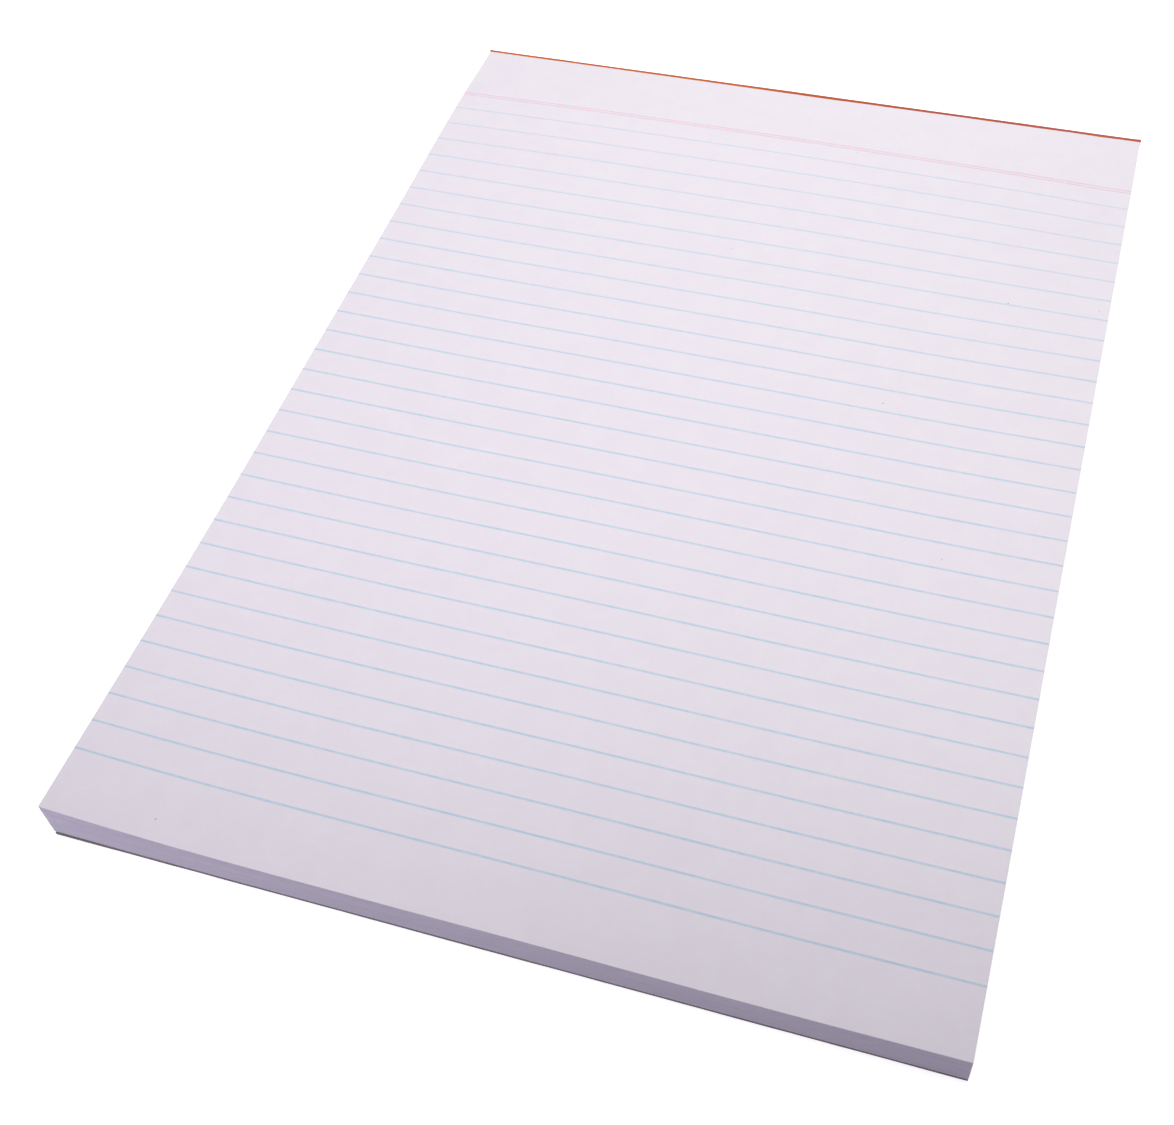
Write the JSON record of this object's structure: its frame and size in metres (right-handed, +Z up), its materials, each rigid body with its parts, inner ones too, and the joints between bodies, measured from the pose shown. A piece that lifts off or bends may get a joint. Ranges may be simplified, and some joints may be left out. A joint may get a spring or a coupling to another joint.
{
  "type": "writing pad",
  "caption": "White A4 ruled writing pad with pale blue feint lines, a pink heading pair, red gummed head and greyboard back",
  "frame": {"origin": "middle of the underside of the pad, on the surface that it rests on", "axes": "+Z up out of the top leaf, +Y from the foot to the gummed head, +X to the right of a person writing on it"},
  "size_m": [0.21, 0.2976, 0.0103],
  "materials": {
    "paper": "matte uncoated bond, faintly lilac white",
    "greyboard": "rough grey-brown fibres",
    "gum": "satin red padding gum",
    "feint_ink": "matte pale blue print",
    "heading_ink": "matte pink print"
  },
  "bodies": {
    "root": {"page_block": "paper", "backing_board": "greyboard", "head_binding": "gum", "feint_rules": "feint_ink", "heading_rules": "heading_ink"}
  },
  "joints": []
}
